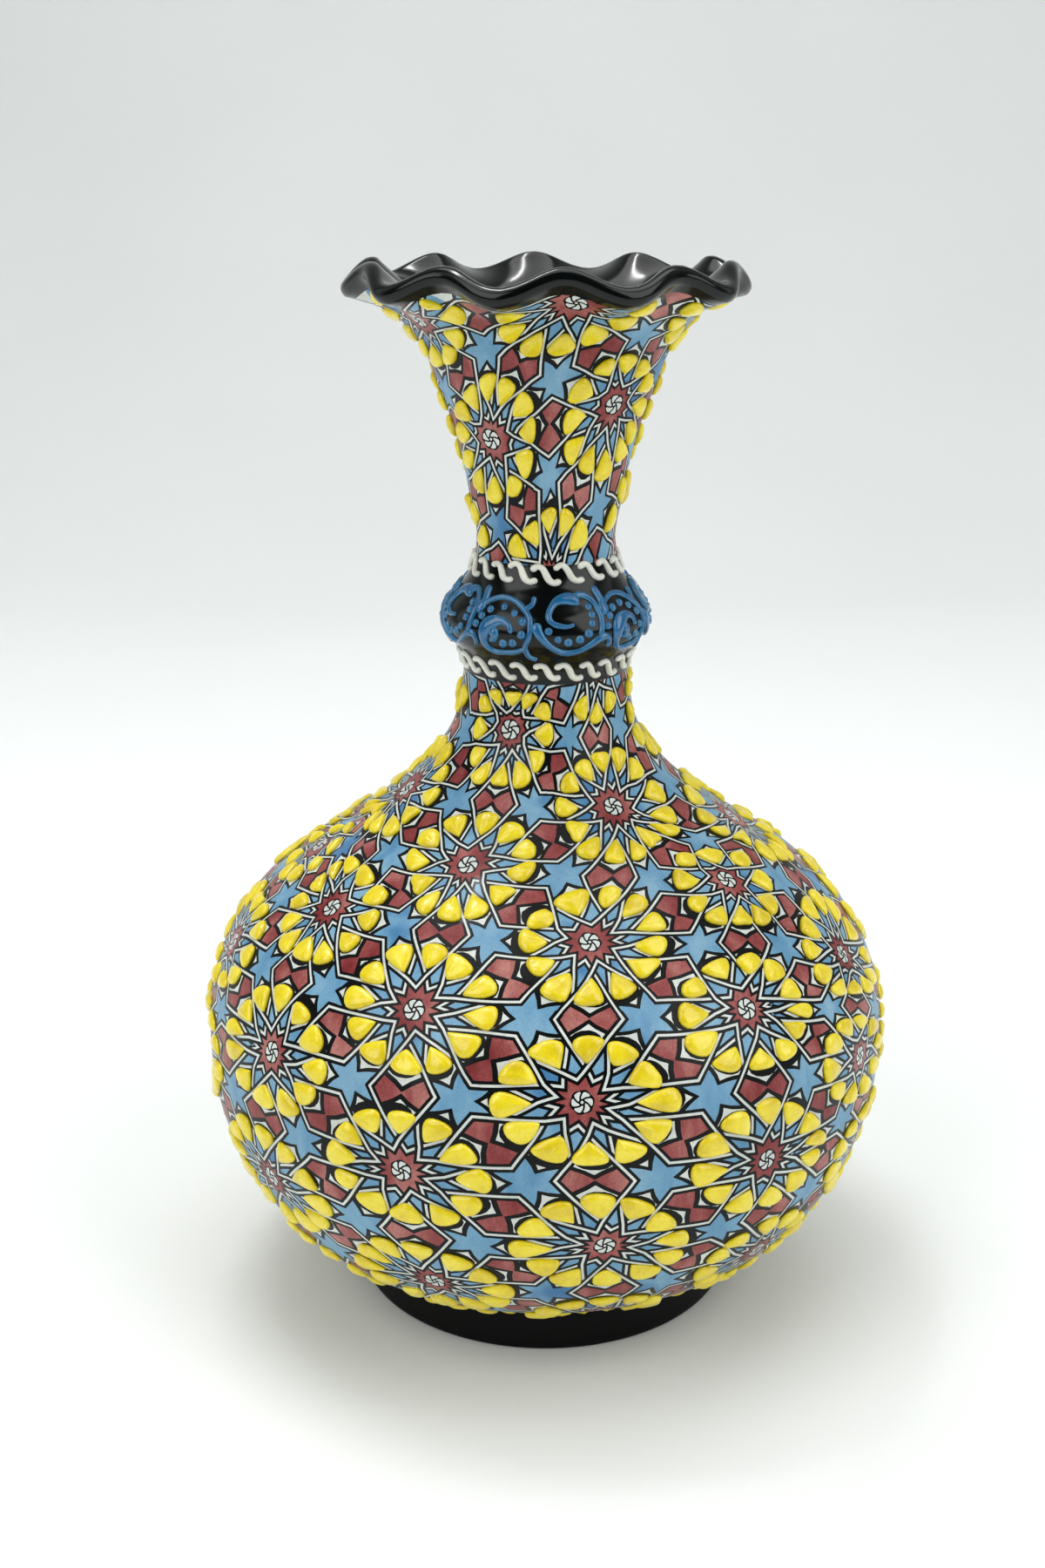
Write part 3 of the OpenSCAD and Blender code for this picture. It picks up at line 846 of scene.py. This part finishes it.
def black_collar():
    """The beaded collar, closed through its bore."""
    build = Build()
    build.lathe(EVEN, wall_line(radius, COLLAR_FOOT, NECK_FOOT, 90), 0)
    build.lathe(EVEN, joint(NECK_FOOT, True), 0)
    build.lathe(EVEN, wall_line(bore, NECK_FOOT, COLLAR_FOOT, 60), 0)
    build.lathe(EVEN, joint(COLLAR_FOOT, False), 0)
    return build.make("black_collar", [black_glaze])


collar = black_collar()
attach(collar, "root")
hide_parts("collar")


def foot_line():
    """Section of the foot ring with its corners rounded, closed on itself."""
    out = FOOT_D / 2
    inside = out - FOOT_LAND
    corners = [   # radius, height, size of the rounding
        (inside, 0, 0.5), (out - 0.6, 0, 0.9), (out, 1.4, 0.8),
        (out - 1.4, GLOBE_FOOT, 0.05), (inside - 2.5, GLOBE_FOOT, 0.05), (inside - 1, 1.2, 0.6)]
    line = []
    for i, (r, z, size) in enumerate(corners):
        here = np.array([r, z])
        before, after = np.array(corners[i - 1][:2]), np.array(corners[(i + 1) % len(corners)][:2])
        p = here + (before - here) / np.linalg.norm(before - here) * size
        q = here + (after - here) / np.linalg.norm(after - here) * size
        line += [tuple((1 - t) ** 2 * p + 2 * t * (1 - t) * here + t * t * q)
                 for t in np.linspace(0, 1, 5)]
    return line + line[:1]


def black_foot():
    build = Build()
    build.lathe(EVEN, foot_line(), 0)
    return build.make("black_foot", [foot_black])


foot = black_foot()
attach(foot, "root")
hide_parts("foot_ring")

# ---- yellow petals

PETAL_RISE = 1.3    # mm over the glaze
PETAL_SUNK = 0.12   # mm into the glaze, so that no gap shows
PETAL_INNER, PETAL_HALF = 0.238, 0.08   # pitches
PETAL_OUTER = {0: 0.41, 30: 0.42}       # pitches, by the angle past a neighbour
SHARES = (1.0, 0.93, 0.8, 0.6, 0.38, 0.16)   # sizes of the rings from the outline to the crest


def petal_outline(inner, outer, half, skew, fat):
    """A teardrop in pitches, its point towards the rosette's middle, a little dented."""
    dents = [random.uniform(-0.07, 0.07) for _ in range(4)]
    out = []
    for k in range(24):
        t = 2 * math.pi * k / 24
        along = (1 - math.cos(t)) / 2
        width = along ** fat * math.sqrt(max(0.0, 1 - along ** 4)) / (0.78 - 0.15 * fat)
        dent = 1 + along * (dents[0] * math.sin(2 * t) + dents[1] * math.sin(3 * t)
                            + dents[2] * math.cos(5 * t))
        end = (outer - inner) * along * (1 + 0.5 * dents[3] * math.sin(t))
        out.append((inner + end, half * width * dent * (1 if t < math.pi else -1) + skew * along))
    return out


def petal(build, rosette, i, turn, room):
    """One petal: a fat drop of enamel with a soft off-centre crest. It stands on the glaze."""
    wide = random.gauss(0, 1)
    inner = PETAL_INNER + random.uniform(-0.014, 0.02)
    outer = PETAL_OUTER[turn] + random.uniform(-0.022, 0.018)
    outer = inner + (outer - inner) * room
    half = PETAL_HALF * (1 + 0.07 * max(-2, min(2, wide)))
    skew = random.uniform(-0.015, 0.015)
    outline = petal_outline(inner, outer, half, skew, random.uniform(0.6, 0.95))
    crest = inner + (outer - inner) * random.uniform(0.55, 0.7)
    rise = PETAL_RISE * random.uniform(0.86, 1.04)
    lumps = [random.uniform(-0.09, 0.09) for _ in range(4)]
    rings = []
    for share in SHARES:
        ring_points = []
        for k, (x, y) in enumerate(outline):
            t = 2 * math.pi * k / len(outline)
            keep = share + (1 - share) * 0.34
            px, py = crest + (x - crest) * keep, skew * 0.7 + (y - skew * 0.7) * share
            lump = 1 + (1 - share) * (lumps[0] * math.cos(t) + lumps[1] * math.sin(t)
                                      + lumps[2] * math.cos(2 * t) + lumps[3] * math.sin(2 * t))
            slope = 0.72 + 0.28 * min(1, (px - inner) / (crest - inner))
            over = rise * (1 - share ** 2.6) ** 0.5 * slope * lump
            ring_points.append((px, py, over if share < 1 else -PETAL_SUNK))
        rings.append(ring_points)
    rings.append([(crest, skew * 0.7, rise)])
    rings.insert(0, [((inner + outer) / 2, 0, -PETAL_SUNK)])
    numbers = []
    for ring_points in rings:
        spots = [rosette.spot(i, *turned([(x, y)], turn)[0]) for x, y, _ in ring_points]
        over = np.array([q[2] for q in ring_points])
        numbers.append(build.add(on_wall(*zip(*spots), over)))
    under, *layers, peak = numbers
    for a, b in zip(layers, layers[1:]):
        build.stitch(b, a)
    for k in range(len(outline)):
        m = (k + 1) % len(outline)
        build.faces.append((layers[0][k], layers[0][m], under[0]))
        build.faces.append((layers[-1][m], layers[-1][k], peak[0]))


def face_outwards(obj):
    mesh = bmesh.new()
    mesh.from_mesh(obj.data)
    bmesh.ops.recalc_face_normals(mesh, faces=mesh.faces)
    mesh.to_mesh(obj.data)
    mesh.free()


def petals(name, rosettes, sheet, node):
    build = Build()
    for rosette in rosettes:
        for i in range(rosette.n):
            for turn in (0, 30):
                room = petal_room(rosette, i, turn, sheet)
                if room:
                    petal(build, rosette, i, turn, room)
    obj = mesh_object(name, build.points, build.faces, [yellow_enamel])
    face_outwards(obj)
    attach(obj, "root")
    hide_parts(node)


random.seed(23)
belly_rosettes = [r for r in globe_rosettes if r.p[1] < SHOULDER_ROW]
shoulder_rosettes = [r for r in globe_rosettes if r.p[1] > SHOULDER_ROW]
petals("raised_belly_petals", belly_rosettes, globe_sheet, "belly_petals")
petals("raised_shoulder_petals", shoulder_rosettes, globe_sheet, "shoulder_petals")
petals("raised_neck_petals", neck_rosettes, neck_sheet, "neck_petals")

# ---- trailed enamel on the collar

# a stroke's section: shares of its half width and of its height
HUMP = [(math.sin(t), max(0.0, math.cos(t)) ** 0.8) for t in np.radians(np.linspace(-90, 90, 11))]
SUNK = 0.08   # mm that a stroke's sides go into the glaze


def eased(path, step=0.3):
    """A smooth line through the points [mm along, mm up, width], with a point every step mm."""
    p = np.array([path[0], *path, path[-1]], float)
    out = []
    for k in range(1, len(p) - 2):
        n = max(2, math.ceil(np.linalg.norm(p[k + 1, :2] - p[k, :2]) / step))
        for t in np.arange(n) / n:
            out.append(0.5 * (2 * p[k] + (p[k + 1] - p[k - 1]) * t
                              + (2 * p[k - 1] - 5 * p[k] + 4 * p[k + 1] - p[k + 2]) * t * t
                              + (3 * p[k] - p[k - 1] - 3 * p[k + 1] + p[k + 2]) * t ** 3))
    return np.array(out + [p[-1]])


def trail(build, place, path, rise):
    """A stroke of enamel with a round section and round ends. place turns [mm along, mm up]
    into [angle, arc]. A wide stroke stands a little higher."""
    line = eased(path)
    along = np.gradient(line[:, :2], axis=0)
    along /= np.maximum(np.linalg.norm(along, axis=1, keepdims=True), 1e-9)
    run = np.concatenate([[0], np.cumsum(np.linalg.norm(np.diff(line[:, :2], axis=0), axis=1))])
    numbers = []
    for k, (x, y, wide) in enumerate(line):
        near_end = min(run[k], run[-1] - run[k]) / (wide / 2)
        blunt = math.sqrt(max(0.03, 1 - max(0.0, 1 - near_end) ** 2))
        across = np.array([-along[k, 1], along[k, 0]]) * wide / 2 * blunt
        crest = rise * min(1.35, 0.6 + 0.3 * wide) * blunt
        spots = [place(x + across[0] * u, y + across[1] * u) for u, _ in HUMP]
        over = np.array([crest * h - SUNK * (abs(u) == 1) for u, h in HUMP])
        numbers.append(build.add(on_wall(*zip(*spots), over)))
        # the crest share, which the blue enamel turns into pale edges, partly a painted highlight
        build.crests += [blunt * h for _, h in HUMP]
    for a, b in zip(numbers, numbers[1:]):
        build.stitch(b, a)
    build.faces += [tuple(numbers[0]), tuple(reversed(numbers[-1]))]


def dome(build, place, x, y, size, rise):
    """A round drop of enamel."""
    rows = [(1.0, -SUNK)] + [(math.cos(t), math.sin(t)) for t in np.radians((0, 20, 40, 60, 78))]
    turns = np.radians(np.arange(0, 360, 22.5))
    numbers = []
    for r, h in rows:
        spots = [place(x + size / 2 * r * math.cos(t), y + size / 2 * r * math.sin(t)) for t in turns]
        numbers.append(build.add(on_wall(*zip(*spots), rise * h)))
        build.crests += [max(0.0, h)] * len(turns)
    for a, b in zip(numbers, numbers[1:]):
        build.stitch(a, b)
    build.faces += [tuple(reversed(numbers[0])), tuple(numbers[-1])]


def enamel_piece(name, build, material, node):
    """The strokes or drops as one piece, whose material can read how near its crest a point is: the blue
    enamel paints points far from the crest pale, partly for thin enamel and partly as a painted
    highlight.
    """
    obj = mesh_object(name, build.points, build.faces, [material])
    crest = obj.data.attributes.new("crest", "FLOAT", "POINT")
    crest.data.foreach_set("value", np.array(build.crests, np.float32))
    face_outwards(obj)
    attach(obj, "root")
    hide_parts(node)


MEANDER = [   # steps along, mm up, share of the full width
    (-0.6, 0.8, 1.12), (-0.5, 1.5, 1.0), (-0.3, 1.85, 0.95), (-0.13, 1.3, 0.95), (0, 0, 1.05),
    (0.12, -1.2, 1.05), (0.29, -1.75, 1.0), (0.46, -1.65, 1.0), (0.6, -1.2, 1.02)]
MEANDER_W = 1.52
MEANDER_RISE = 0.85


def meander(name, z, count, node):
    """Running strokes, each a little different from the last."""
    build = Build()
    step = 2 * math.pi * float(radius(z)) / count
    for i in range(count):
        drift, lift = random.uniform(-0.05, 0.05), random.uniform(-0.2, 0.2)
        size = random.uniform(0.92, 1.08)

        def place(x, y):
            return (i + x / step) * 360 / count, arc_at(z) + y

        path = [((x * size + drift) * step, y * size + lift + random.uniform(-0.1, 0.1),
                 MEANDER_W * w * random.uniform(0.93, 1.07)) for x, y, w in MEANDER]
        trail(build, place, path, MEANDER_RISE)
    enamel_piece(name, build, white_enamel, node)


meander("raised_lower_meander", 160.2, 24, "lower_meander")
meander("raised_upper_meander", 182.1, 20, "upper_meander")

SCROLLS = 10
SCROLL_TURN = -23.0
SCROLL_ARC = arc_at(171.5)
SCROLL_W = 1.45
SCROLL_RISE = 0.75
ROOMY, WIDE_STEP = 3, 38.0
TIGHT_STEP = (360 - ROOMY * WIDE_STEP) / (SCROLLS - ROOMY)
CURL = [   # strokes of [mm along, mm up, share of the full width]
    [(-8.4, 3.9, 0.9), (-6.1, 5.6, 0.9), (-3.4, 6.6, 0.9), (-0.5, 6.6, 0.9), (2.1, 5.5, 1), (4.1, 4, 1),
     (5.4, 2, 1), (5.8, -0.2, 0.9), (5.6, -2.4, 0.85), (4.8, -4.5, 0.85), (4.8, -6.5, 0.9),
     (5.8, -7.9, 0.8), (7.3, -8.3, 0.7)],
    [(4.6, -5.3, 0.7), (2, -6.4, 0.85), (-0.2, -6.7, 0.9), (-2.6, -6.7, 0.9), (-4.5, -6, 1),
     (-5.4, -4.4, 1.2), (-5.3, -2.6, 1.8), (-4.8, -0.8, 2.4), (-3.4, 0.3, 2.3), (-1.8, 1, 1.6),
     (-0.2, 0.8, 1.1), (0.9, -0.2, 0.9), (1.4, -1.7, 0.7)],
    [(-3.4, -0.9, 1.8), (-2.5, -2.2, 1.5), (-2.9, -3.3, 1.1), (-3.9, -3.5, 0.8)],
    [(3.8, 4.0, 0.9), (5.3, 4.9, 0.9), (6, 5.8, 0.9), (6.2, 7.3, 1.1)]]
HOOK = [
    [(-8.9, 0.9, 1.8), (-8.2, -1.2, 1.5), (-6.5, -3.5, 1.1), (-4.3, -5.4, 1), (-1.8, -6.4, 1),
     (1, -6.1, 0.9), (3.3, -4.9, 1), (5.3, -3.5, 1.1), (6.9, -2.8, 1.2), (8.2, -3.1, 1),
     (8.8, -4.3, 0.8), (8.3, -5.5, 0.7)],
    [(6.2, -2.6, 0.9), (6.7, 0, 0.9), (6.9, 2.6, 1), (6.2, 5.4, 1), (4.6, 7.1, 1), (2.6, 7.6, 1.2),
     (1.0, 7.0, 1.3)],
    [(2.2, 5.3, 1.2), (0.9, 6.3, 2), (-1.4, 6.9, 2), (-3.9, 6, 1.4), (-5.5, 4.2, 1.1), (-6, 2.3, 1.1),
     (-5.1, 1, 0.9), (-3.5, 0.2, 0.9), (-1.6, 0, 0.7), (0, 0.5, 0.65)],
    [(7.7, 9.2, 1.2), (8.3, 7.7, 1.4), (8.6, 5.4, 1.4), (8.3, 3.6, 2), (8.1, 1.9, 1)]]
CURL_DOTS = [(-6.8, 1.6), (-4.9, 3.4), (-1.5, 4.3), (1.6, 3.1), (3.9, 1.1), (3.9, -1.9), (1.8, -4),
             (-0.6, -4.4)]
HOOK_DOTS = [(4.6, 4.4), (4.8, 2.4), (4.5, 0.4), (3.3, -1.9), (1.3, -3.2), (-1.4, -3.7), (-3.9, -3),
             (-6, -1), (8.5, -0.5)]
DOT_D = 1.85
DOT_RISE = 0.42   # of its width


def scroll_place(i):
    """Turns a scroll's own mm along and up into [angle, arc]. The ones in front have more room."""
    turn = SCROLL_TURN + (min(i, ROOMY) - 1) * WIDE_STEP + max(0, i - ROOMY) * TIGHT_STEP
    fit = 1 if 0 < i < ROOMY else TIGHT_STEP / WIDE_STEP
    return lambda x, y: (turn + math.degrees(x * fit / wall_r(SCROLL_ARC)), SCROLL_ARC + y)


scrolls, drops = Build(), Build()
for i in range(SCROLLS):
    strokes, dots = (HOOK, HOOK_DOTS) if i % 2 == 0 else (CURL, CURL_DOTS)
    for stroke in strokes:
        path = [(x + random.uniform(-0.1, 0.1), y + random.uniform(-0.1, 0.1), w * SCROLL_W)
                for x, y, w in stroke]
        trail(scrolls, scroll_place(i), path, SCROLL_RISE)
    for x, y in dots:
        size = DOT_D * random.uniform(0.9, 1.08)
        x, y = x + random.uniform(-0.12, 0.12), y + random.uniform(-0.12, 0.12)
        dome(drops, scroll_place(i), x, y, size, size * DOT_RISE)
enamel_piece("raised_scrolls", scrolls, blue_enamel, "collar_scrolls")
enamel_piece("raised_dots", drops, blue_enamel, "collar_dots")

# ---- studio


def backdrop():
    """A pale sweep: a floor that curves up into a wall far behind."""
    n = Nodes("pale_paper")
    tone = n.ramp(n.noise(3, 2, 0.5), [(0.3, (238, 241, 240)), (0.7, (242, 245, 244))])
    rough = n.remap(n.noise(40, 2, 0.5), 0.8, 0.95)
    paper = n.finish(tone, rough, n.bump(n.noise(900, 2, 0.5), 0.05, 0.0002))
    wall_y, bend, columns = 1.6, 0.8, 13
    line = [(-2.5, 0.0), (wall_y - bend, 0.0)]
    line += [(wall_y - bend + bend * math.sin(t), bend - bend * math.cos(t))
             for t in np.linspace(0.05, math.pi / 2, 24)]
    line += [(wall_y, 3.5)]
    points = [(x, y, z) for y, z in line for x in np.linspace(-3, 3, columns)]
    faces = [(k, k + 1, k + 1 + columns, k + columns)
             for j in range(len(line) - 1) for k in range(j * columns, (j + 1) * columns - 1)]
    return mesh_object("paper_sweep", points, faces, [paper])


backdrop()


def area_light(name, place, target, size, power):
    """A rectangular light of a size in metres, at a place, facing a target."""
    data = bpy.data.lights.new(name, "AREA")
    data.shape = "RECTANGLE"
    data.size, data.size_y = size
    data.energy = power
    light = bpy.data.objects.new(name, data)
    bpy.context.scene.collection.objects.link(light)
    light.location = place
    light.rotation_euler = (Vector(target) - Vector(place)).to_track_quat("-Z", "Y").to_euler()


area_light("soft_left", (-1.1, -1.0, 1.1), (0, 0, 0.12), (1.3, 1.5), 17)
area_light("soft_right", (1.2, -0.7, 1.0), (0, 0, 0.12), (1.2, 1.5), 15)
area_light("soft_top", (0, 0.1, 1.6), (0, 0, 0.1), (1.6, 1.2), 13)
area_light("glint", (-0.25, 0.25, 1.3), (0, 0, 0.2), (0.5, 0.05), 4.0)


def studio_world():
    """Bright behind the vase and dim in front, so that the black glaze stays black."""
    world = bpy.data.worlds.new("studio")
    world.use_nodes = True
    sky = world.node_tree
    heading = sky.nodes.new("ShaderNodeTexCoord")
    split = sky.nodes.new("ShaderNodeSeparateXYZ")
    shade = sky.nodes.new("ShaderNodeValToRGB")
    sky.links.new(heading.outputs["Generated"], split.inputs["Vector"])
    sky.links.new(split.outputs["Y"], shade.inputs["Fac"])
    dim, bright = shade.color_ramp.elements
    dim.position, dim.color = 0.0, rgb(64, 66, 67)
    bright.position, bright.color = 0.5, rgb(240, 246, 247)
    sky.links.new(shade.outputs["Color"], sky.nodes["Background"].inputs["Color"])
    sky.nodes["Background"].inputs["Strength"].default_value = 1.0
    return world


bpy.context.scene.world = studio_world()

CAMERA_TILT = 17.56   # degrees down from the level
camera_data = bpy.data.cameras.new("camera")
camera_data.lens = 44.38
camera_data.sensor_width = 36
camera = bpy.data.objects.new("camera", camera_data)
bpy.context.scene.collection.objects.link(camera)
camera.location = (-0.0055, -0.4465, 0.2685)
camera.rotation_euler = (math.radians(90 - CAMERA_TILT), 0, 0)
bpy.context.scene.camera = camera
bpy.context.scene.view_settings.view_transform = "Standard"
